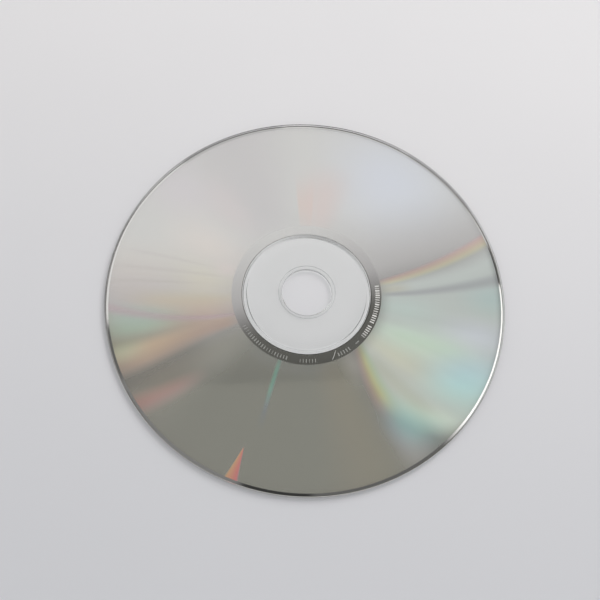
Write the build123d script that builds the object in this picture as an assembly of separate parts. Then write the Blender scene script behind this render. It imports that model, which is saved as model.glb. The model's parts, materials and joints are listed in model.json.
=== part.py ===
from build123d import *
import os

# A compact disc, 120 mm across, lying flat with its read side up.
# Millimetres, +Z up. The origin is on the disc's axis, in the plane of the label side.

# Moulded blank: round at the read side's edge, a small chamfer at the label side's
disc_diameter = 120.0
disc_thickness = 1.2
rim_round = 0.25
rim_chamfer = 0.15

# Centre hole, and the sunk step round it on the read side
hole_diameter = 15.0
hole_chamfer = 0.1
step_width = 0.95
step_depth = 0.15
step_slope = 0.08

# Metal film: its inner edge, and the clear rim left outside it
metal_inner_diameter = 38.8
clear_rim_width = 1.0
metal_thickness = 0.05

# Stacking ring, a low round ridge on the read side, just inside the metal
ring_gap = 0.2
ring_width = 1.2
ring_height = 0.2

# Groove that the mould's holder leaves on the label side, under the ridge
groove_gap = 0.5
groove_width = 0.6
groove_depth = 0.15
groove_draft = 0.06

# Radii and heights that follow from the sizes above
disc_radius = disc_diameter / 2
hole_radius = hole_diameter / 2
step_radius = hole_radius + step_width
step_floor = disc_thickness - step_depth
metal_inner_radius = metal_inner_diameter / 2
metal_outer_radius = disc_radius - clear_rim_width
ring_outer_radius = metal_inner_radius - ring_gap
ring_inner_radius = ring_outer_radius - ring_width
ring_crest = disc_thickness + ring_height
groove_outer_radius = metal_inner_radius - groove_gap
groove_inner_radius = groove_outer_radius - groove_width

# How far the middle of a quarter round lies inside its corner, as a share of its radius
quarter_point = 1 - 0.5 ** 0.5


def hole_and_step_lines():
    """The hole's wall, its two chamfers and the sunk step, from the label side up."""
    Polyline(
        (hole_radius + hole_chamfer, 0),
        (hole_radius, hole_chamfer),
        (hole_radius, step_floor - hole_chamfer),
        (hole_radius + hole_chamfer, step_floor),
        (step_radius, step_floor),
        (step_radius + step_slope, disc_thickness),
        (ring_inner_radius, disc_thickness),
    )


def stacking_ring_line():
    """The round back of the ridge on the read side."""
    ThreePointArc(
        (ring_inner_radius, disc_thickness),
        ((ring_inner_radius + ring_outer_radius) / 2, ring_crest),
        (ring_outer_radius, disc_thickness),
    )


def rim_lines():
    """The read side out to the edge, the round corner, the edge and its chamfer."""
    start_of_round = (disc_radius - rim_round, disc_thickness)
    end_of_round = (disc_radius, disc_thickness - rim_round)
    inset = rim_round * quarter_point
    Line((ring_outer_radius, disc_thickness), start_of_round)
    ThreePointArc(start_of_round, (disc_radius - inset, disc_thickness - inset), end_of_round)
    Polyline(
        end_of_round,
        (disc_radius, rim_chamfer),
        (disc_radius - rim_chamfer, 0),
    )


def label_side_lines():
    """The shallow seat of the metal and the holder's groove, from the rim inwards."""
    Polyline(
        (disc_radius - rim_chamfer, 0),
        (metal_outer_radius, 0),
        (metal_outer_radius, metal_thickness),
        (metal_inner_radius, metal_thickness),
        (metal_inner_radius, 0),
        (groove_outer_radius, 0),
        (groove_outer_radius - groove_draft, groove_depth),
        (groove_inner_radius + groove_draft, groove_depth),
        (groove_inner_radius, 0),
        (hole_radius + hole_chamfer, 0),
    )


def clear_disc():
    """The moulded polycarbonate disc, turned from one closed half section."""
    with BuildPart() as disc:
        with BuildSketch(Plane.XZ):
            with BuildLine():
                hole_and_step_lines()
                stacking_ring_line()
                rim_lines()
                label_side_lines()
            make_face()
        revolve(axis=Axis.Z)
    return disc.part


def metal_layer():
    """The aluminium film with its coat, flush with the label side in its seat."""
    with BuildPart() as metal:
        with BuildSketch():
            Circle(metal_outer_radius)
            Circle(metal_inner_radius, mode=Mode.SUBTRACT)
        extrude(amount=metal_thickness)
    return metal.part


pieces = {
    "clear_disc": clear_disc(),
    "metal_layer": metal_layer(),
}

os.makedirs("parts", exist_ok=True)
for name, piece in pieces.items():
    export_step(piece, f"parts/{name}.step")
    print(name, round(piece.volume, 2), "mm3")
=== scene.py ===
import json
import math

import bpy
from mathutils import Matrix, Vector


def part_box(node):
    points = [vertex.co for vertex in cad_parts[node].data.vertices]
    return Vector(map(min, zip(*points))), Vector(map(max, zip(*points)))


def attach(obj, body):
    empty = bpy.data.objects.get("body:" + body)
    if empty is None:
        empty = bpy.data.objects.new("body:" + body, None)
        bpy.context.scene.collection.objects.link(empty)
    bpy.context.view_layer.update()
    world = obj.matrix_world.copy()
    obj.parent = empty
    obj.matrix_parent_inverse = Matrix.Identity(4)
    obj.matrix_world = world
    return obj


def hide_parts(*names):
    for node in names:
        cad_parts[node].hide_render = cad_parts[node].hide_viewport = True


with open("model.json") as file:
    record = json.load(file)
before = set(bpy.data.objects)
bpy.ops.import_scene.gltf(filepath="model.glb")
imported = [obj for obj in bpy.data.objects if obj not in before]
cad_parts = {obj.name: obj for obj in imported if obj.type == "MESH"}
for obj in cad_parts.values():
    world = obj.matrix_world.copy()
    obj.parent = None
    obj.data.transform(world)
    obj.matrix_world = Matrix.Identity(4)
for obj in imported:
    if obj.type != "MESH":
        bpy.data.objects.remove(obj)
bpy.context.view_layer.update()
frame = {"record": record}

# Sizes in metres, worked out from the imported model
mm = 0.001
disc_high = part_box("clear_disc")[1]
film_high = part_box("metal_layer")[1]
disc_radius = disc_high.x
film_outer_radius = film_high.x
crest_height = disc_high.z
seat_height = film_high.z
mounts = {mount["name"]: mount for mount in frame["record"]["mounts"]}
hole_radius = mounts["centre_hole"]["dims"]["r_mm"] * mm
read_side_height = mounts["clamp_face"]["pos_m"][2]

# Moulded details of the clear disc
rim_round = 0.25 * mm
rim_chamfer = 0.15 * mm
hole_chamfer = 0.1 * mm
step_width = 0.95 * mm
step_depth = 0.15 * mm
step_slope = 0.16 * mm
step_round = 0.06 * mm
film_inner_radius = 19.4 * mm
ring_gap = 0.2 * mm
ring_width = 1.2 * mm
groove_gap = 0.5 * mm
groove_width = 0.6 * mm
groove_depth = 0.15 * mm
groove_draft = 0.06 * mm

# Zones of the metal film
data_start_radius = 22.6 * mm
film_clearance = 0.012 * mm
film_bond = 0.002 * mm
film_edge_width = 0.75 * mm
film_bend = 0.05 * mm
# Width and fade of a dark ring of painted shade along the film's inner edge
shaded_edge_width = 0.16 * mm
shaded_edge_fade = 0.15 * mm
zone_blur = 0.1 * mm
past_the_rim = 62.0 * mm

# How finely round shapes are divided
turn_steps = 512
corner_steps = 6
ridge_steps = 10

# The camera, as the photograph has it
eye = Vector((-1.76, -84.9, 204.87)) * mm
aim = Vector((-1.76, -2.42, 0.0)) * mm
camera_roll = math.radians(6.83)
sensor_width = 36.0
lens = 44.06

# The tabletop and the lamp over it
tabletop_reach = 20.0
tabletop_level = -0.25 * mm
soft_box_place = Vector((0.6, 1.04, 0.95))
soft_box_size = 1.0
soft_box_power = 14.0

# Angles in degrees
half_turn = 180.0
full_turn = 360.0
degrees_per_radian = math.degrees(1.0)


# Helpers for node trees


def feed(socket, value):
    """Links a socket to another one, or sets it to a plain value."""
    if isinstance(value, bpy.types.NodeSocket):
        socket.id_data.links.new(value, socket)
    elif value is not None:
        socket.default_value = value


def add_node(tree, kind, inputs=(), **settings):
    """Adds a node, sets its properties and feeds its inputs by place or name."""
    node = tree.nodes.new(kind)
    for name, value in settings.items():
        setattr(node, name, value)
    pairs = inputs.items() if isinstance(inputs, dict) else enumerate(inputs)
    for key, value in pairs:
        feed(node.inputs[key], value)
    return node


def maths(tree, operation, *values, clamp=False):
    """The result of one Math node."""
    node = add_node(tree, "ShaderNodeMath", values, operation=operation, use_clamp=clamp)
    return node.outputs[0]


def smooth_step(tree, value, start, end, low=0.0, high=1.0):
    """A soft step from low to high as the value goes from start to end."""
    node = add_node(
        tree,
        "ShaderNodeMapRange",
        {"Value": value, "From Min": start, "From Max": end, "To Min": low, "To Max": high},
        interpolation_type="SMOOTHSTEP",
    )
    return node.outputs["Result"]


def mix_colour(tree, factor, first, second):
    """A mix of two colours. Inputs 6 and 7 and output 2 are the node's sockets for colours."""
    node = add_node(tree, "ShaderNodeMix", data_type="RGBA")
    feed(node.inputs["Factor"], factor)
    feed(node.inputs[6], first)
    feed(node.inputs[7], second)
    return node.outputs[2]


def new_group(name, kind, inputs, outputs):
    """A node group with named sockets; returns the tree, its inputs and its outputs."""
    tree = bpy.data.node_groups.new(name, kind)
    for label, socket_kind, value in inputs:
        socket = tree.interface.new_socket(label, in_out="INPUT", socket_type=socket_kind)
        if value is not None:
            socket.default_value = value
    for label, socket_kind in outputs:
        tree.interface.new_socket(label, in_out="OUTPUT", socket_type=socket_kind)
    return tree, tree.nodes.new("NodeGroupInput").outputs, tree.nodes.new("NodeGroupOutput").inputs


def place_group(tree, group, **values):
    """Places a shader node group; a name's underscores stand for the socket's spaces."""
    node = tree.nodes.new("ShaderNodeGroup")
    node.node_tree = group
    for name, value in values.items():
        feed(node.inputs[name.replace("_", " ").capitalize()], value)
    return node.outputs


def new_material(name):
    """An empty node material; returns it, its tree and the output's surface socket."""
    material = bpy.data.materials.new(name)
    material.use_nodes = True
    material.node_tree.nodes.clear()
    out = material.node_tree.nodes.new("ShaderNodeOutputMaterial")
    return material, material.node_tree, out.inputs["Surface"]


def principled(tree, values):
    """The shader of one finish, from its values by socket name."""
    return add_node(tree, "ShaderNodeBsdfPrincipled", values).outputs["BSDF"]


def object_place(tree):
    """The point of the surface in the piece's own coordinates."""
    return tree.nodes.new("ShaderNodeTexCoord").outputs["Object"]


def split(tree, vector):
    """The X, Y and Z of a vector."""
    return add_node(tree, "ShaderNodeSeparateXYZ", [vector]).outputs


def noise(tree, place, scale, detail):
    """A soft noise from 0 to 1."""
    values = {"Vector": place, "Scale": scale, "Detail": detail}
    return add_node(tree, "ShaderNodeTexNoise", values).outputs["Fac"]


def reach_of(tree, x, y):
    """How far the point (x, y) lies from the disc's axis."""
    square = maths(tree, "MULTIPLY", x, x)
    return maths(tree, "SQRT", maths(tree, "MULTIPLY_ADD", y, y, square))


def azimuth_of(tree, x, y):
    """The azimuth of the point (x, y) in degrees."""
    return maths(tree, "MULTIPLY", maths(tree, "ARCTAN2", y, x), degrees_per_radian)


def turn_between(tree, azimuth, centre):
    """How far an azimuth lies counter-clockwise of a centre, in degrees either way."""
    difference = maths(tree, "SUBTRACT", azimuth, centre)
    return maths(tree, "WRAP", difference, half_turn, -half_turn)


# Shader groups shared by the finishes


def polar_place_group():
    """The azimuth in degrees and the radius in millimetres of a point, about the disc's axis."""
    tree, _, outputs = new_group(
        "Polar place",
        "ShaderNodeTree",
        [],
        [("Azimuth", "NodeSocketFloat"), ("Radius", "NodeSocketFloat")],
    )
    parts = split(tree, object_place(tree))
    azimuth = azimuth_of(tree, parts["X"], parts["Y"])
    feed(outputs["Azimuth"], maths(tree, "WRAP", azimuth, full_turn, 0.0))
    feed(outputs["Radius"], maths(tree, "DIVIDE", reach_of(tree, parts["X"], parts["Y"]), mm))
    return tree


def fan_group():
    """One fan of painted diffracted light: a wedge about the axis that fades at its sides and ends.
    Its hue runs from one side to the other; it lays its colour over the one below and adds its
    painted light to the light below.
    The values given here are those of a fan that states no others."""
    thinnest = 0.05
    tree, inputs, outputs = new_group(
        "Light fan",
        "ShaderNodeTree",
        [
            ("Azimuth", "NodeSocketFloat", 0.0),
            ("Radius", "NodeSocketFloat", 0.0),
            ("Colour below", "NodeSocketColor", (1.0, 1.0, 1.0, 1.0)),
            ("Light below", "NodeSocketFloat", 0.0),
            ("Centre", "NodeSocketFloat", 0.0),
            ("Lean", "NodeSocketFloat", 0.0),
            ("Bend", "NodeSocketFloat", 0.0),
            ("Half width", "NodeSocketFloat", 10.0),
            ("Flare", "NodeSocketFloat", 0.0),
            ("Swell", "NodeSocketFloat", 0.0),
            ("Softness", "NodeSocketFloat", 1.0),
            ("Inner radius", "NodeSocketFloat", data_start_radius / mm),
            ("Outer radius", "NodeSocketFloat", past_the_rim / mm),
            ("Fade", "NodeSocketFloat", 4.0),
            ("Clockwise hue", "NodeSocketFloat", 0.0),
            ("Counter hue", "NodeSocketFloat", 0.0),
            ("Saturation", "NodeSocketFloat", 0.3),
            ("Brightness", "NodeSocketFloat", 0.85),
            ("Strength", "NodeSocketFloat", 1.0),
            ("Light", "NodeSocketFloat", 0.0),
        ],
        [("Colour", "NodeSocketColor"), ("Light", "NodeSocketFloat")],
    )
    outward = maths(tree, "SUBTRACT", inputs["Radius"], inputs["Inner radius"])
    square = maths(tree, "MULTIPLY", outward, outward)
    centre = maths(tree, "MULTIPLY_ADD", inputs["Lean"], outward, inputs["Centre"])
    centre = maths(tree, "MULTIPLY_ADD", inputs["Bend"], square, centre)
    half = maths(tree, "MULTIPLY_ADD", inputs["Flare"], outward, inputs["Half width"])
    half = maths(tree, "MULTIPLY_ADD", inputs["Swell"], square, half)
    half = maths(tree, "MAXIMUM", half, thinnest)
    across = maths(tree, "DIVIDE", turn_between(tree, inputs["Azimuth"], centre), half)
    edge = maths(tree, "SUBTRACT", 1.0, inputs["Softness"])
    side = smooth_step(tree, maths(tree, "ABSOLUTE", across), edge, 1.0, low=1.0, high=0.0)
    fade_start = maths(tree, "MULTIPLY", inputs["Fade"], -1.0)
    start = smooth_step(tree, outward, fade_start, inputs["Fade"])
    inward = maths(tree, "SUBTRACT", inputs["Outer radius"], inputs["Radius"])
    end = smooth_step(tree, inward, fade_start, inputs["Fade"])
    mask = maths(tree, "MULTIPLY", maths(tree, "MULTIPLY", start, end), side)
    mask = maths(tree, "MULTIPLY", mask, inputs["Strength"])
    hue = add_node(
        tree,
        "ShaderNodeMapRange",
        {
            "Value": across,
            "From Min": -1.0,
            "From Max": 1.0,
            "To Min": inputs["Clockwise hue"],
            "To Max": inputs["Counter hue"],
        },
    ).outputs["Result"]
    colour = add_node(
        tree,
        "ShaderNodeCombineColor",
        [maths(tree, "FRACT", hue), inputs["Saturation"], inputs["Brightness"]],
        mode="HSV",
    ).outputs[0]
    feed(outputs["Colour"], mix_colour(tree, mask, inputs["Colour below"], colour))
    more = maths(tree, "MULTIPLY", mask, inputs["Light"])
    feed(outputs["Light"], maths(tree, "ADD", inputs["Light below"], more, clamp=True))
    return tree


def fine_wear_group():
    """Hairlines and dust, so faint that they only show where something is mirrored."""
    most_roughening = 0.06
    tree, inputs, outputs = new_group(
        "Fine wear",
        "ShaderNodeTree",
        [("Roughness", "NodeSocketFloat", 0.03), ("Wear", "NodeSocketFloat", 0.5)],
        [("Roughness", "NodeSocketFloat"), ("Height", "NodeSocketFloat")],
    )
    place = object_place(tree)
    smear = noise(tree, place, scale=45.0, detail=3.0)
    grain = noise(tree, place, scale=900.0, detail=2.0)
    patches = smooth_step(tree, smear, start=0.45, end=0.7)
    amount = maths(tree, "MULTIPLY", patches, inputs["Wear"])
    rise = maths(tree, "MULTIPLY", amount, most_roughening)
    feed(outputs["Roughness"], maths(tree, "ADD", inputs["Roughness"], rise))
    feed(outputs["Height"], maths(tree, "MULTIPLY", grain, inputs["Wear"]))
    return tree


polar_place = polar_place_group()
light_fan = fan_group()
fine_wear = fine_wear_group()


def lay_fan(tree, place, fan, colour, light=0.0):
    """Lays one fan over a colour and a light; returns its outputs, Colour and Light."""
    return place_group(
        tree,
        light_fan,
        azimuth=place["Azimuth"],
        radius=place["Radius"],
        colour_below=colour,
        light_below=light,
        **fan,
    )


# Fans of diffracted light in the data area, painted onto the film as colour and as painted light
# that veils the mirror; they also paint lighter and darker sectors over the mirrored room.
# Azimuths and widths are in degrees and radii in millimetres, counter-clockwise from +X. Lean,
# bend, flare and swell change the centre and the half width per millimetre outwards and per square
# millimetre. Hues run from 0 (red) through 0.33 (green) to 0.67 (blue). What a fan does not state
# is as the Light fan group gives it.
bright_half_fans = [
    # Blue-grey towards the rim, plain grey beside it, and peach that ends sharply
    dict(centre=61, half_width=38, inner_radius=33, fade=15, clockwise_hue=0.61, counter_hue=0.63,
         saturation=0.11, brightness=1.0, strength=0.9),
    dict(centre=123, half_width=28, softness=0.9, clockwise_hue=-0.02, counter_hue=0.03,
         saturation=0.03, brightness=0.79, strength=0.9),
    dict(centre=96, half_width=50, outer_radius=27, fade=5, clockwise_hue=0.1, counter_hue=0.1,
         saturation=0.03, brightness=0.81, strength=0.9),
    dict(centre=87, half_width=16, inner_radius=22, outer_radius=41, fade=8, clockwise_hue=0.03,
         counter_hue=0.04, saturation=0.16, brightness=0.91, strength=0.8),
    dict(centre=97, half_width=5.5, softness=0.35, inner_radius=24, outer_radius=36, fade=7,
         clockwise_hue=0.04, counter_hue=0.05, saturation=0.22, brightness=0.92, strength=0.7),
    dict(centre=138, half_width=14, inner_radius=28, outer_radius=48, fade=9, clockwise_hue=-0.02,
         counter_hue=0.05, saturation=0.08, brightness=0.88, strength=0.7),
    dict(centre=146, half_width=15, inner_radius=44, fade=9, clockwise_hue=0.85, counter_hue=0.93,
         saturation=0.06, brightness=0.88, strength=0.6),
    # Warm cream towards the left
    dict(centre=161, half_width=20, outer_radius=44, fade=12, clockwise_hue=0.05, counter_hue=0.10,
         saturation=0.12, brightness=0.96, strength=0.9),
    dict(centre=182, half_width=18, softness=0.9, outer_radius=40, fade=12, clockwise_hue=0.13,
         counter_hue=0.10, saturation=0.19, brightness=1.0, strength=0.9),
    dict(centre=182, half_width=18, softness=0.9, inner_radius=41, fade=9, clockwise_hue=0.10,
         counter_hue=0.04, saturation=0.11, brightness=0.93, strength=0.8),
    dict(centre=170, half_width=9, outer_radius=28, clockwise_hue=0.04, counter_hue=0.06,
         saturation=0.13, brightness=1.0, strength=0.8, light=0.08),
]

# Thin darker lines painted in the cream: centre, lean, half width, inner and outer radius
cream_lines = [
    (171, 0.06, 1.3, 32, 56),
    (176, 0.08, 1.5, 28, 58),
    (182, 0.05, 1.1, 34, 58),
]
cream_line_fans = [
    dict(centre=centre, lean=lean, half_width=half_width, inner_radius=inner, outer_radius=outer,
         fade=6, clockwise_hue=0.08, counter_hue=0.08, saturation=0.08, brightness=0.80,
         strength=0.28)
    for centre, lean, half_width, inner, outer in cream_lines
]

left_fans = [
    # Yellow that turns to orange along the edge of the mirrored ceiling
    dict(centre=197, lean=-0.05, half_width=12, softness=0.7, outer_radius=50, fade=9,
         clockwise_hue=0.13, counter_hue=0.03, saturation=0.30, brightness=0.98, strength=0.85),
    # Pinkish orange that widens outwards, teal over it towards the rim, and orange at its sharp end
    dict(centre=209, lean=-0.19, half_width=6, flare=0.16, softness=0.7, clockwise_hue=0.08,
         counter_hue=0.04, saturation=0.34, brightness=0.88, strength=0.9, light=0.28),
    dict(centre=199, lean=-0.05, half_width=9.5, softness=0.9, inner_radius=41, fade=9,
         clockwise_hue=0.49, counter_hue=0.22, saturation=0.16, brightness=0.94, strength=0.95,
         light=0.11),
    dict(centre=209.2, half_width=6.4, softness=0.7, inner_radius=39, fade=12, clockwise_hue=0.10,
         counter_hue=0.05, saturation=0.42, brightness=1.0, strength=0.8, light=0.50),
    dict(centre=206.5, half_width=5, softness=0.9, inner_radius=52, fade=5, clockwise_hue=0.28,
         counter_hue=0.11, saturation=0.24, brightness=0.97, strength=0.7, light=0.05),
    dict(centre=223, half_width=16, outer_radius=37, fade=12, clockwise_hue=0.12, counter_hue=0.14,
         saturation=0.14, brightness=0.89, strength=0.9, light=0.25),
    dict(centre=222, half_width=14, inner_radius=38, fade=12, clockwise_hue=0.08, counter_hue=0.1,
         saturation=0.24, brightness=0.94, strength=0.8, light=0.14),
    # A pink line along the edge of the mirrored ceiling
    dict(centre=205, lean=-0.36, half_width=2.6, clockwise_hue=-0.02, counter_hue=-0.05,
         saturation=0.20, brightness=0.93, strength=0.6),
    # Red streaks beyond the dark gap
    dict(centre=226.5, lean=-0.22, half_width=4.9, inner_radius=42, fade=6, clockwise_hue=0.03,
         counter_hue=-0.02, saturation=0.60, brightness=1.0, strength=0.95, light=0.26),
]

dark_part_fans = [
    # Olive grey with a lighter inner edge, brownish towards the right
    dict(centre=262, half_width=52, softness=0.5, clockwise_hue=0.14, counter_hue=0.16,
         saturation=0.10, brightness=0.90, strength=0.9, light=0.02),
    dict(centre=262, half_width=46, softness=0.6, outer_radius=25, fade=3, clockwise_hue=0.2,
         counter_hue=0.2, saturation=0.05, brightness=0.9, strength=0.7, light=0.10),
    dict(centre=295, half_width=18, clockwise_hue=0.10, counter_hue=0.13, saturation=0.20,
         brightness=0.93, strength=0.8, light=0.06),
    # A thin teal line that fades to blue, and an orange wedge at the rim
    dict(centre=256, lean=0.12, half_width=2.5, flare=-0.055, outer_radius=35, clockwise_hue=0.40,
         counter_hue=0.47, saturation=0.41, brightness=0.95, strength=0.9, light=0.23),
    dict(centre=257.5, lean=0.1, half_width=1.8, inner_radius=34, outer_radius=41,
         clockwise_hue=0.60, counter_hue=0.62, saturation=0.22, brightness=0.95, strength=0.5,
         light=0.07),
    dict(centre=255.6, half_width=0.2, flare=0.22, softness=0.4, inner_radius=50, fade=1,
         clockwise_hue=0.08, counter_hue=-0.02, saturation=0.62, brightness=1.0, light=0.65),
]

right_fans = [
    # The whole sector lightened by painted light, between a curved edge and a straight one
    dict(centre=347.6, lean=-0.41, bend=0.0145, half_width=30.6, flare=0.62, swell=-0.0145,
         softness=0.25, clockwise_hue=0.30, counter_hue=0.44, saturation=0.06, brightness=0.92,
         light=0.80),
    # A painted soft glow that leads into it, and its cream, green, cyan, blue and teal parts
    dict(centre=308, half_width=12, outer_radius=30, fade=6, clockwise_hue=0.14, counter_hue=0.06,
         saturation=0.13, brightness=0.94, strength=0.8, light=0.36),
    dict(centre=309, half_width=8, inner_radius=49, fade=6, clockwise_hue=0.10, counter_hue=0.10,
         saturation=0.06, brightness=0.95, strength=0.8, light=0.24),
    dict(centre=319, half_width=6, inner_radius=27, outer_radius=52, fade=5, clockwise_hue=0.18,
         counter_hue=0.22, saturation=0.14, brightness=0.92, strength=0.8, light=-0.08),
    dict(centre=10, half_width=6, outer_radius=30, clockwise_hue=0.16, counter_hue=0.13,
         saturation=0.16, brightness=0.88, strength=0.8, light=-0.12),
    dict(centre=329, lean=0.1, half_width=12, outer_radius=42, fade=12, clockwise_hue=0.12,
         counter_hue=0.24, saturation=0.18, brightness=0.98, strength=0.9, light=0.10),
    dict(centre=340, lean=0.15, half_width=12, inner_radius=25, outer_radius=52, fade=8,
         clockwise_hue=0.26, counter_hue=0.40, saturation=0.17, brightness=1.0, strength=0.9,
         light=0.30),
    dict(centre=333.5, lean=0.3, half_width=15, softness=0.95, inner_radius=45, fade=8,
         clockwise_hue=0.43, counter_hue=0.59, saturation=0.31, brightness=1.0, strength=0.9,
         light=0.24),
    dict(centre=321, half_width=6, inner_radius=51, fade=6, clockwise_hue=0.15, counter_hue=0.28,
         saturation=0.13, brightness=0.97, strength=0.7, light=0.22),
    dict(centre=352, half_width=9, inner_radius=44, fade=9, clockwise_hue=0.58, counter_hue=0.62,
         saturation=0.11, brightness=1.0, strength=0.9, light=0.12),
    dict(centre=357, half_width=12, outer_radius=38, fade=9, clockwise_hue=0.42, counter_hue=0.46,
         saturation=0.14, brightness=0.96, strength=0.8, light=0.10),
    dict(centre=5, half_width=9, inner_radius=50, fade=8, clockwise_hue=0.46, counter_hue=0.51,
         saturation=0.19, brightness=0.92, strength=0.8),
    # The coloured line along the curved edge: red and yellow-green first, then blue and teal
    dict(centre=318.4, lean=-0.96, bend=0.028, half_width=6.5, outer_radius=43, fade=6,
         clockwise_hue=-0.05, counter_hue=0.35, saturation=0.40, brightness=0.95, strength=0.95,
         light=0.40),
    dict(centre=311.3, bend=0.027, half_width=10.5, flare=0.15, inner_radius=42.5, outer_radius=56,
         fade=6, clockwise_hue=0.60, counter_hue=0.36, saturation=0.32, brightness=0.93,
         strength=0.9, light=0.39),
    # A thin darker painted line, and the rainbow line along the straight edge
    dict(centre=6, lean=0.16, half_width=2.5, flare=0.02, inner_radius=24, fade=3,
         clockwise_hue=0.6, counter_hue=0.6, saturation=0.06, brightness=0.80, strength=0.85,
         light=-0.20),
    dict(centre=15.5, lean=0.26, half_width=3.6, flare=-0.02, softness=0.8, clockwise_hue=0.20,
         counter_hue=-0.03, saturation=0.32, brightness=1.0, strength=0.9, light=0.20),
]

painted_light_fans = bright_half_fans + cream_line_fans + left_fans + dark_part_fans + right_fans

# A short scratch across the mirror band
scratch_line = dict(centre=301, lean=-2.1, bend=-0.1, half_width=0.40, softness=0.8,
                    inner_radius=20.0, outer_radius=22.2, fade=0.3, clockwise_hue=0.1,
                    counter_hue=0.1, saturation=0.04, brightness=0.95, light=0.85)


# Finishes


def zone_edge(radius):
    """Where a zone of the film starts and ends its fade, in millimetres."""
    return (radius - zone_blur) / mm, (radius + zone_blur) / mm


def film_material():
    """The aluminium film seen through the plastic: a clean mirror in the inner band, with a dark
    ring of painted shade along its inner edge, and in the data area a mirror veiled by scattered
    light and crossed by painted fans of diffracted colour and light."""
    data_grey = (0.86, 0.85, 0.83, 1.0)
    mirror_silver = (0.87, 0.86, 0.84, 1.0)
    shaded_edge_silver = (0.36, 0.36, 0.34, 1.0)
    dark_veil, more_veil_in_light = 0.205, 0.56
    mirror_veil = 0.045
    weakest_streak, streak_span = 0.94, 0.12
    material, tree, surface = new_material("aluminium_film")
    place = place_group(tree, polar_place)
    radius = place["Radius"]
    data_start = smooth_step(tree, radius, *zone_edge(data_start_radius))
    data_end = smooth_step(tree, radius, *zone_edge(film_outer_radius), low=1.0, high=0.0)
    data_area = maths(tree, "MULTIPLY", data_start, data_end)

    colour, light = data_grey, 0.0
    for fan in painted_light_fans:
        laid = lay_fan(tree, place, fan, colour, light)
        colour, light = laid["Colour"], laid["Light"]

    # Radial streaks in the painted light
    spot = object_place(tree)
    outward = add_node(tree, "ShaderNodeVectorMath", [spot], operation="NORMALIZE").outputs[0]
    streaks = noise(tree, outward, scale=16.0, detail=4.0)
    streaks = maths(tree, "MULTIPLY_ADD", streaks, streak_span, weakest_streak)
    light = maths(tree, "MULTIPLY", light, streaks)
    # A dark ring of painted shade along the film's inner edge
    shaded_edge_end = film_inner_radius + shaded_edge_width
    shaded_edge_span = shaded_edge_end / mm, (shaded_edge_end + shaded_edge_fade) / mm
    edge_shade = smooth_step(tree, radius, *shaded_edge_span, low=1.0, high=0.0)
    mirror = mix_colour(tree, edge_shade, mirror_silver, shaded_edge_silver)
    colour = mix_colour(tree, data_area, mirror, colour)
    scattered = maths(tree, "MULTIPLY_ADD", light, more_veil_in_light, dark_veil)
    scratch = lay_fan(tree, place, scratch_line, colour)
    veil = maths(tree, "MAXIMUM", maths(tree, "MULTIPLY", scattered, data_area), scratch["Light"])
    veil = maths(tree, "MAXIMUM", veil, maths(tree, "MULTIPLY", data_end, mirror_veil))
    wear = place_group(tree, fine_wear, roughness=0.03, wear=0.2)
    shader = principled(
        tree,
        {
            "Base Color": scratch["Colour"],
            "Metallic": maths(tree, "SUBTRACT", 1.0, veil),
            "Roughness": wear["Roughness"],
            "Specular IOR Level": 0.0,
        },
    )
    feed(surface, shader)
    return material


def label_coat_material():
    """The plain coat over the film on the label side: silver, a little satin, with fine grain."""
    dark_silver, light_silver = (0.70, 0.70, 0.69, 1.0), (0.76, 0.76, 0.75, 1.0)
    material, tree, surface = new_material("coated_label_side")
    wear = place_group(tree, fine_wear, roughness=0.28, wear=0.8)
    grain = add_node(
        tree, "ShaderNodeBump", {"Height": wear["Height"], "Strength": 0.05, "Distance": 0.2 * mm}
    )
    cloud = noise(tree, object_place(tree), scale=30.0, detail=2.0)
    shader = principled(
        tree,
        {
            "Base Color": mix_colour(tree, cloud, dark_silver, light_silver),
            "Metallic": 0.85,
            "Roughness": wear["Roughness"],
            "Coat Weight": 0.6,
            "Coat Roughness": 0.08,
            "Normal": grain.outputs["Normal"],
        },
    )
    feed(surface, shader)
    return material


# Parts of the rim tinted darker as painted shade, for dark things it mirrors: centre, half width,
# softness and brightness
shaded_rim_parts = [
    dict(centre=centre, half_width=half_width, softness=softness, inner_radius=50,
         outer_radius=64, saturation=0.0, brightness=brightness)
    for centre, half_width, softness, brightness in (
        (49, 15, 0.25, 0.72),
        (79, 17, 0.25, 0.84),
        (121, 18.5, 0.2, 0.72),
    )
]


def clear_plastic_material(name, tint, shade, clearness=1.0, shaded_parts=()):
    """Solid clear plastic that bends light. Light for the things around it passes straight
    through, dimmed by the shade colour."""
    material, tree, surface = new_material(name)
    # A darker tint painted round the rim by azimuth: painted shade
    if shaded_parts:
        place = place_group(tree, polar_place)
        for part in shaded_parts:
            tint = lay_fan(tree, place, part, tint)["Colour"]
    wear = place_group(tree, fine_wear, roughness=0.0, wear=0.3)
    shader = principled(
        tree,
        {
            "Base Color": tint,
            "Roughness": wear["Roughness"],
            "IOR": 1.585,
            "Transmission Weight": clearness,
        },
    )
    passing = add_node(tree, "ShaderNodeBsdfTransparent", {"Color": shade}).outputs["BSDF"]
    path = tree.nodes.new("ShaderNodeLightPath").outputs
    lighting = maths(tree, "MAXIMUM", path["Is Shadow Ray"], path["Is Diffuse Ray"])
    mixed = add_node(tree, "ShaderNodeMixShader", [lighting, shader, passing])
    feed(surface, mixed.outputs["Shader"])
    return material


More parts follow.
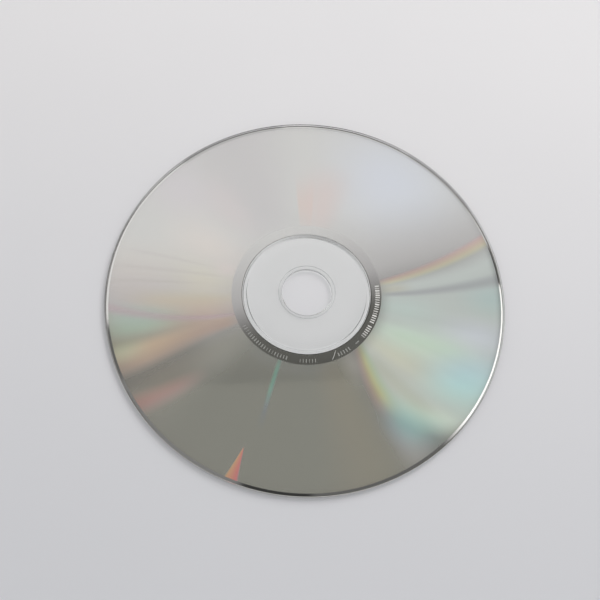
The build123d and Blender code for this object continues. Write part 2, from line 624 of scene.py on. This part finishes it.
def mark_material():
    """The plain ticks etched in the mirror band: frosted aluminium, with a painted highlight that
    makes them brightest at the right.
    """
    frosted_grey = (0.42, 0.42, 0.40, 1.0)
    # A painted highlight over the ticks at the right
    painted_highlight_side = dict(centre=352, half_width=30, softness=0.5, inner_radius=19, fade=0.5,
                    clockwise_hue=0.1, counter_hue=0.1, saturation=0.05, brightness=0.95)
    material, tree, surface = new_material("etched_tick")
    highlighted_ticks = lay_fan(tree, place_group(tree, polar_place), painted_highlight_side, frosted_grey)
    wear = place_group(tree, fine_wear, roughness=0.5, wear=1.0)
    shader = principled(
        tree, {"Base Color": highlighted_ticks["Colour"], "Metallic": 0.1, "Roughness": wear["Roughness"]}
    )
    feed(surface, shader)
    return material


def floor_material():
    """A matt pale tabletop, with painted shade that makes it a little darker towards the front,
    where the light falls off.
    """
    shaded_front_tone, lit_back_tone = (0.76, 0.765, 0.795, 1.0), (0.92, 0.905, 0.915, 1.0)
    cloud_tone, most_cloud = (0.6, 0.6, 0.62, 1.0), 0.03
    tone_reach = 0.12
    material, tree, surface = new_material("pale_tabletop")
    place = object_place(tree)
    tone = smooth_step(tree, split(tree, place)["Y"], -tone_reach, tone_reach)
    cloud = noise(tree, place, scale=14.0, detail=2.0)
    cloud = smooth_step(tree, cloud, start=0.3, end=0.7, high=most_cloud)
    colour = mix_colour(tree, tone, shaded_front_tone, lit_back_tone)
    colour = mix_colour(tree, cloud, colour, cloud_tone)
    shader = principled(
        tree, {"Base Color": colour, "Roughness": 0.7, "Specular IOR Level": 0.2}
    )
    feed(surface, shader)
    return material


# Shapes turned from a half section


def arc_points(start, middle, end, steps):
    """Points of the round arc through three points, both ends included. Its centre (ox, oy) is
    as far from the start a as from the middle b and the end c."""
    (ax, ay), (bx, by), (cx, cy) = start, middle, end
    d = 2 * (ax * (by - cy) + bx * (cy - ay) + cx * (ay - by))
    a2, b2, c2 = ax * ax + ay * ay, bx * bx + by * by, cx * cx + cy * cy
    ox = (a2 * (by - cy) + b2 * (cy - ay) + c2 * (ay - by)) / d
    oy = (a2 * (cx - bx) + b2 * (ax - cx) + c2 * (bx - ax)) / d
    reach = math.hypot(ax - ox, ay - oy)
    first = math.atan2(ay - oy, ax - ox)
    last = math.atan2(cy - oy, cx - ox)
    turn = (last - first + math.pi) % (2 * math.pi) - math.pi
    angles = [first + turn * k / steps for k in range(steps + 1)]
    return [(ox + reach * math.cos(a), oy + reach * math.sin(a)) for a in angles]


def disc_section():
    """The closed half section of the clear disc as (radius, height) points."""
    top = read_side_height
    step_floor = top - step_depth
    step_radius = hole_radius + step_width
    ring_outer = film_inner_radius - ring_gap
    ring_inner = ring_outer - ring_width
    groove_outer = film_inner_radius - groove_gap
    groove_inner = groove_outer - groove_width
    inset = rim_round * (1 - math.sqrt(0.5))
    hole_and_step = [
        (hole_radius + hole_chamfer, 0.0),
        (hole_radius, hole_chamfer),
        (hole_radius, step_floor - hole_chamfer),
        (hole_radius + hole_chamfer, step_floor),
    ]
    step_wall = [
        (step_radius - step_round, step_floor),
        (step_radius, step_floor + step_round / 3),
        (step_radius + step_slope, top - step_round / 3),
        (step_radius + step_slope + step_round, top),
    ]
    ridge = arc_points(
        (ring_inner, top),
        ((ring_inner + ring_outer) / 2, crest_height),
        (ring_outer, top),
        ridge_steps,
    )
    corner = arc_points(
        (disc_radius - rim_round, top),
        (disc_radius - inset, top - inset),
        (disc_radius, top - rim_round),
        corner_steps,
    )
    label_side = [
        (disc_radius, rim_chamfer),
        (disc_radius - rim_chamfer, 0.0),
        (film_outer_radius + film_edge_width, 0.0),
        (film_outer_radius, seat_height),
        (film_outer_radius - film_bend, seat_height),
        (film_inner_radius, seat_height),
        (film_inner_radius, 0.0),
        (groove_outer, 0.0),
        (groove_outer - groove_draft, groove_depth),
        (groove_inner + groove_draft, groove_depth),
        (groove_inner, 0.0),
    ]
    return hole_and_step + step_wall + ridge + [(film_outer_radius, top)] + corner + label_side


def film_section():
    """The half section of the film, bonded to the roof of its seat and thinning out at the rim."""
    top = seat_height + film_bond
    inner = film_inner_radius + film_clearance
    return [
        (inner, 0.0),
        (inner, top),
        (film_outer_radius - film_bend, top),
        (film_outer_radius, top),
        (film_outer_radius + film_edge_width, 0.0),
    ]


def turning_tree():
    """Geometry nodes that turn a closed half section about the Z axis.
    The body, its bevels, its steep walls, what lies beyond the rim radius and faces that look down
    each have a finish."""
    straight_down = -0.999
    steepest_bevel, flattest_bevel = 0.5, 0.83
    flattest_wall = 0.3
    tree, inputs, outputs = new_group(
        "Turned from a half section",
        "GeometryNodeTree",
        [
            ("Section", "NodeSocketGeometry", None),
            ("Path radius", "NodeSocketFloat", 0.03),
            ("Steps", "NodeSocketInt", turn_steps),
            ("Sharp angle", "NodeSocketFloat", math.radians(20)),
            ("Rim radius", "NodeSocketFloat", 0.06),
            ("Body finish", "NodeSocketMaterial", None),
            ("Bevel finish", "NodeSocketMaterial", None),
            ("Wall finish", "NodeSocketMaterial", None),
            ("Rim finish", "NodeSocketMaterial", None),
            ("Underside finish", "NodeSocketMaterial", None),
        ],
        [("Geometry", "NodeSocketGeometry")],
    )
    profile = add_node(tree, "GeometryNodeMeshToCurve", {"Mesh": inputs["Section"]})
    path = add_node(
        tree,
        "GeometryNodeCurvePrimitiveCircle",
        {"Resolution": inputs["Steps"], "Radius": inputs["Path radius"]},
    )
    circle = path.outputs["Curve"]
    upright = add_node(tree, "GeometryNodeSetCurveNormal", {"Curve": circle}, mode="Z_UP")
    turned = add_node(
        tree,
        "GeometryNodeCurveToMesh",
        {"Curve": upright.outputs["Curve"], "Profile Curve": profile.outputs["Curve"]},
    )
    edge_angle = tree.nodes.new("GeometryNodeInputMeshEdgeAngle").outputs["Unsigned Angle"]
    sharp = maths(tree, "GREATER_THAN", edge_angle, inputs["Sharp angle"])
    smooth = add_node(
        tree,
        "GeometryNodeSetShadeSmooth",
        {"Geometry": turned.outputs["Mesh"], "Shade Smooth": True},
    )
    creased = add_node(
        tree,
        "GeometryNodeSetShadeSmooth",
        {"Geometry": smooth.outputs["Geometry"], "Selection": sharp, "Shade Smooth": False},
        domain="EDGE",
    )
    creased = creased.outputs["Geometry"]
    whole = add_node(tree, "GeometryNodeRealizeInstances", {"Geometry": creased})
    normal = tree.nodes.new("GeometryNodeInputNormal").outputs["Normal"]
    rise = split(tree, normal)["Z"]
    downward = maths(tree, "LESS_THAN", rise, straight_down)
    flatness = maths(tree, "ABSOLUTE", rise)
    steep = maths(tree, "LESS_THAN", flatness, flattest_wall)
    leaning = maths(tree, "GREATER_THAN", flatness, steepest_bevel)
    below_flat = maths(tree, "LESS_THAN", flatness, flattest_bevel)
    sloping = maths(tree, "MULTIPLY", leaning, below_flat)
    place = split(tree, tree.nodes.new("GeometryNodeInputPosition").outputs["Position"])
    reach = reach_of(tree, place["X"], place["Y"])
    beyond = maths(tree, "GREATER_THAN", reach, inputs["Rim radius"])
    geometry = whole.outputs["Geometry"]
    for finish, selection in (
        ("Body finish", True),
        ("Underside finish", downward),
        ("Bevel finish", sloping),
        ("Wall finish", steep),
        ("Rim finish", beyond),
    ):
        painted = add_node(
            tree,
            "GeometryNodeSetMaterial",
            {"Geometry": geometry, "Selection": selection, "Material": inputs[finish]},
        )
        geometry = painted.outputs["Geometry"]
    feed(outputs["Geometry"], geometry)
    return tree


def ticks_tree():
    """Geometry nodes that set plain upright ticks in a row along an arc in the mirror band."""
    least_swell, most_swell = 1.0, 3.2
    tree, inputs, outputs = new_group(
        "Row of ticks on an arc",
        "GeometryNodeTree",
        [
            ("Geometry", "NodeSocketGeometry", None),
            ("Radius", "NodeSocketFloat", 0.0214),
            ("First angle", "NodeSocketFloat", 0.0),
            ("Spacing", "NodeSocketFloat", 0.02),
            ("Count", "NodeSocketInt", 10),
            ("Height", "NodeSocketFloat", 0.0012),
            ("Width", "NodeSocketFloat", 0.0001),
            ("Thickness", "NodeSocketFloat", 0.000004),
            ("Level", "NodeSocketFloat", 0.00004),
            ("Seed", "NodeSocketInt", 1),
            ("Finish", "NodeSocketMaterial", None),
        ],
        [("Geometry", "NodeSocketGeometry")],
    )
    rows = add_node(tree, "GeometryNodeMeshLine", {"Count": inputs["Count"]}, mode="OFFSET")
    index = tree.nodes.new("GeometryNodeInputIndex").outputs["Index"]
    angle = maths(tree, "MULTIPLY_ADD", index, inputs["Spacing"], inputs["First angle"])
    spot = add_node(
        tree,
        "ShaderNodeCombineXYZ",
        [
            maths(tree, "MULTIPLY", maths(tree, "COSINE", angle), inputs["Radius"]),
            maths(tree, "MULTIPLY", maths(tree, "SINE", angle), inputs["Radius"]),
            inputs["Level"],
        ],
    ).outputs[0]
    placed = add_node(
        tree, "GeometryNodeSetPosition", {"Geometry": rows.outputs["Mesh"], "Position": spot}
    )
    size = add_node(
        tree, "ShaderNodeCombineXYZ", [inputs["Height"], inputs["Width"], inputs["Thickness"]]
    ).outputs[0]
    bar = add_node(tree, "GeometryNodeMeshCube", {"Size": size})
    turn = add_node(tree, "ShaderNodeCombineXYZ", [0.0, 0.0, angle]).outputs[0]
    # Inputs 2 and 3 and output 1 are the node's sockets for plain numbers
    swell = add_node(
        tree,
        "FunctionNodeRandomValue",
        {2: least_swell, 3: most_swell, "Seed": inputs["Seed"]},
        data_type="FLOAT",
    ).outputs[1]
    scale = add_node(tree, "ShaderNodeCombineXYZ", [1.0, swell, 1.0]).outputs[0]
    ticks = add_node(
        tree,
        "GeometryNodeInstanceOnPoints",
        {
            "Points": placed.outputs["Geometry"],
            "Instance": bar.outputs["Mesh"],
            "Rotation": turn,
            "Scale": scale,
        },
    )
    whole = add_node(tree, "GeometryNodeRealizeInstances", {"Geometry": ticks.outputs["Instances"]})
    painted = add_node(
        tree,
        "GeometryNodeSetMaterial",
        {"Geometry": whole.outputs["Geometry"], "Material": inputs["Finish"]},
    )
    feed(outputs["Geometry"], painted.outputs["Geometry"])
    return tree


def link_mesh(name, mesh):
    """Puts a mesh in the scene as an object at the origin."""
    thing = bpy.data.objects.new(name, mesh)
    bpy.context.scene.collection.objects.link(thing)
    return thing


def grow(start, tree, **values):
    """Runs a geometry node tree on an object and returns the result as a plain mesh."""
    modifier = start.modifiers.new("grow", "NODES")
    modifier.node_group = tree
    items = tree.interface.items_tree
    sockets = {item.name: item.identifier for item in items if item.in_out == "INPUT"}
    for name, value in values.items():
        modifier[sockets[name.replace("_", " ").capitalize()]] = value
    depsgraph = bpy.context.evaluated_depsgraph_get()
    mesh = bpy.data.meshes.new_from_object(start.evaluated_get(depsgraph), depsgraph=depsgraph)
    bpy.data.objects.remove(start)
    return mesh


def turned_piece(name, section, rim_radius, **finishes):
    """A piece turned from its half section, with its place in its mesh."""
    path_radius = (min(r for r, _ in section) + max(r for r, _ in section)) / 2
    outline = bpy.data.meshes.new(name + "_section")
    points = [(r - path_radius, -z, 0.0) for r, z in section]
    edges = [(k, (k + 1) % len(points)) for k in range(len(points))]
    outline.from_pydata(points, edges, [])
    start = link_mesh(name + "_outline", outline)
    mesh = grow(start, turning, path_radius=path_radius, rim_radius=rim_radius, **finishes)
    return link_mesh(name, mesh)


turning = turning_tree()
ticks = ticks_tree()


def clear_disc_piece():
    """The moulded clear disc."""
    clear, shaded_bevel_tint = (0.989, 0.993, 0.986, 1.0), (0.5, 0.51, 0.51, 1.0)
    frosted, frosted_clearness = (0.88, 0.89, 0.89, 1.0), 0.15
    wall_shade, rim_shade = (0.68, 0.69, 0.69, 1.0), (0.56, 0.56, 0.56, 1.0)
    body = clear_plastic_material("clear_plastic_body", clear, clear)
    # The bevels get a darker tint than the body: painted shade along them
    bevel = clear_plastic_material("clear_plastic_bevels", shaded_bevel_tint, clear)
    wall = clear_plastic_material("frosted_plastic_walls", frosted, wall_shade, frosted_clearness)
    rim = clear_plastic_material("clear_plastic_rim", clear, rim_shade, shaded_parts=shaded_rim_parts)
    piece = turned_piece(
        "moulded_clear_disc",
        disc_section(),
        film_outer_radius,
        body_finish=body,
        bevel_finish=bevel,
        wall_finish=wall,
        rim_finish=rim,
        underside_finish=body,
    )
    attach(piece, "root")
    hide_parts("clear_disc")


def film_piece():
    """The aluminium film in its seat, with its coat below."""
    film, coat = film_material(), label_coat_material()
    piece = turned_piece(
        "aluminium_film",
        film_section(),
        disc_radius,
        body_finish=film,
        bevel_finish=film,
        wall_finish=film,
        rim_finish=film,
        underside_finish=coat,
    )
    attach(piece, "root")
    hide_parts("metal_layer")


# Rows of ticks: first azimuth and spacing in degrees, count, height and width in millimetres
tick_rows = [
    (217, 2.4, 19, 1.1, 0.11),
    (271, 2.4, 6, 1.1, 0.09),
    (302, 2.4, 5, 1.1, 0.11),
    (320, 3.0, 1, 0.3, 0.50),
    (327, 2.0, 6, 1.3, 0.14),
    (341, 2.0, 17, 1.3, 0.17),
]
tick_radius = 21.45 * mm
tick_thickness = 0.004 * mm


def tick_pieces():
    """The rows of plain ticks in the mirror band, just above the film."""
    finish = mark_material()
    level = seat_height + film_bond + tick_thickness
    for number, (first, spacing, count, height, width) in enumerate(tick_rows, 1):
        mesh = grow(
            link_mesh("tick_start", bpy.data.meshes.new("tick_start")),
            ticks,
            radius=tick_radius,
            first_angle=math.radians(first),
            spacing=math.radians(spacing),
            count=count,
            height=height * mm,
            width=width * mm,
            thickness=tick_thickness,
            level=level,
            seed=number,
            finish=finish,
        )
        piece = link_mesh(f"etched_ticks_{number}", mesh)
        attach(piece, "root")


# Stage


def facing(direction):
    """The turn that points an object's -Z along a direction."""
    return direction.to_track_quat("-Z", "Y").to_matrix().to_4x4()


def camera():
    """The camera at the photograph's place, rolled as the photograph is."""
    data = bpy.data.cameras.new("camera")
    data.sensor_width = sensor_width
    data.lens = lens
    data.clip_start = 0.01
    data.clip_end = 100.0
    thing = bpy.data.objects.new("camera", data)
    bpy.context.scene.collection.objects.link(thing)
    roll = Matrix.Rotation(camera_roll, 4, "Z")
    thing.matrix_world = Matrix.Translation(eye) @ facing(aim - eye) @ roll
    bpy.context.scene.camera = thing


def floor():
    """A wide pale tabletop just under the disc."""
    mesh = bpy.data.meshes.new("tabletop")
    turns = [(-1, -1), (1, -1), (1, 1), (-1, 1)]
    corners = [(x * tabletop_reach, y * tabletop_reach, tabletop_level) for x, y in turns]
    mesh.from_pydata(corners, [], [(0, 1, 2, 3)])
    mesh.materials.append(floor_material())
    link_mesh("tabletop", mesh)


def key_light():
    """A soft box at the upper right."""
    data = bpy.data.lights.new("soft_box", "AREA")
    data.shape = "DISK"
    data.size = soft_box_size
    data.energy = soft_box_power
    thing = bpy.data.objects.new("soft_box", data)
    thing.visible_glossy = False
    thing.visible_transmission = False
    bpy.context.scene.collection.objects.link(thing)
    thing.matrix_world = Matrix.Translation(soft_box_place) @ facing(-soft_box_place)


# The room that the disc mirrors, laid out as the camera sees it on the disc. The ceiling ends at
# two straight lines, each given by its slope and its height at X = 0. The panel below the ceiling
# has bands along one more line.
ceiling_lines = [(0.43, 0.7 * mm), (0.079, -8.6 * mm)]
ceiling_edge = (-13.0 * mm, 3.0 * mm)
ceiling_rise = (-6.0 * mm, 27.0 * mm)
ceiling_near, ceiling_far = (0.42, 0.41, 0.42, 1.0), (0.68, 0.68, 0.685, 1.0)
panel_slope = 0.17
panel_front_band = (-29.4 * mm, -26.6 * mm)
panel_back_band = (-26.5 * mm, -17.0 * mm)
panel_front = (0.112, 0.112, 0.100, 1.0)
panel_middle = (0.062, 0.062, 0.054, 1.0)
panel_back = (0.090, 0.090, 0.082, 1.0)

# Windows and walls round the table, which the film's slanted edge mirrors: middle, half width and
# softness in degrees, and brightness. Elsewhere the wall is as bright as near_wall.
walls = [
    (86, 53, 6, 0.56),
    (97, 3, 4, 0.75),
    (166, 27, 5, 0.80),
    (345, 26, 4, 1.40),
    (309, 6, 14, 0.13),
    (29, 2, 4, 0.65),
    (19, 5.5, 2, 0.04),
    (237, 22, 4, 0.22),
    (268, 8, 3, 0.04),
]
near_wall = 0.13
wall_inner_edge = 72.0 * mm
wall_softness = 8.0 * mm

# The pale horizon, up to these heights above the table
horizon_full, horizon_end = math.sin(math.radians(26)), math.sin(math.radians(38))
horizon_grey = (0.55, 0.55, 0.55, 1.0)
least_rise = 0.05


def mirrored_ceiling(tree, x, y):
    """The colour of the ceiling and of the panel at a spot on the disc."""
    lines = [maths(tree, "MULTIPLY_ADD", x, slope, middle) for slope, middle in ceiling_lines]
    above = maths(tree, "SUBTRACT", y, maths(tree, "MAXIMUM", *lines))
    panel = smooth_step(tree, above, *ceiling_edge, low=1.0, high=0.0)
    rise = smooth_step(tree, above, *ceiling_rise)
    bright = mix_colour(tree, rise, ceiling_near, ceiling_far)
    past_line = maths(tree, "MULTIPLY_ADD", x, -panel_slope, y)
    middle_share = smooth_step(tree, past_line, *panel_front_band)
    dark = mix_colour(tree, middle_share, panel_front, panel_middle)
    back_share = smooth_step(tree, past_line, *panel_back_band)
    dark = mix_colour(tree, back_share, dark, panel_back)
    return mix_colour(tree, panel, bright, dark)


def mirrored_walls(tree, x, y):
    """The grey of the windows and walls beyond a spot on the disc."""
    azimuth = azimuth_of(tree, x, y)
    brightness = near_wall
    for centre, half_width, soft, level in walls:
        away = maths(tree, "ABSOLUTE", turn_between(tree, azimuth, centre))
        share = smooth_step(tree, away, half_width, half_width + soft, low=1.0, high=0.0)
        values = {"Factor": share, "A": brightness, "B": level}
        brightness = add_node(tree, "ShaderNodeMix", values, data_type="FLOAT").outputs[0]
    return add_node(tree, "ShaderNodeCombineColor", [brightness] * 3).outputs[0]


def surroundings():
    """A room that the disc mirrors: a bright ceiling over the far side, a dark panel over the near
    side, and walls of different brightness around. Directions are turned into the spot on the disc
    where the camera sees them mirrored."""
    world = bpy.data.worlds.new("bright_room")
    bpy.context.scene.world = world
    world.use_nodes = True
    tree = world.node_tree
    tree.nodes.clear()
    parts = split(tree, tree.nodes.new("ShaderNodeTexCoord").outputs["Generated"])
    height = maths(tree, "MAXIMUM", parts["Z"], least_rise)
    rise = eye.z - read_side_height
    x = maths(tree, "MULTIPLY_ADD", maths(tree, "DIVIDE", parts["X"], height), rise, eye.x)
    y = maths(tree, "MULTIPLY_ADD", maths(tree, "DIVIDE", parts["Y"], height), rise, eye.y)
    reach = reach_of(tree, x, y)
    beyond = smooth_step(tree, reach, wall_inner_edge, wall_inner_edge + wall_softness)
    colour = mix_colour(tree, beyond, mirrored_ceiling(tree, x, y), mirrored_walls(tree, x, y))
    low = smooth_step(tree, parts["Z"], horizon_full, horizon_end, low=1.0, high=0.0)
    colour = mix_colour(tree, low, colour, horizon_grey)
    shine = add_node(tree, "ShaderNodeBackground", {"Color": colour})
    out = tree.nodes.new("ShaderNodeOutputWorld")
    feed(out.inputs["Surface"], shine.outputs["Background"])


camera()
clear_disc_piece()
film_piece()
tick_pieces()
floor()
key_light()
surroundings()
bpy.context.scene.view_settings.view_transform = "Standard"
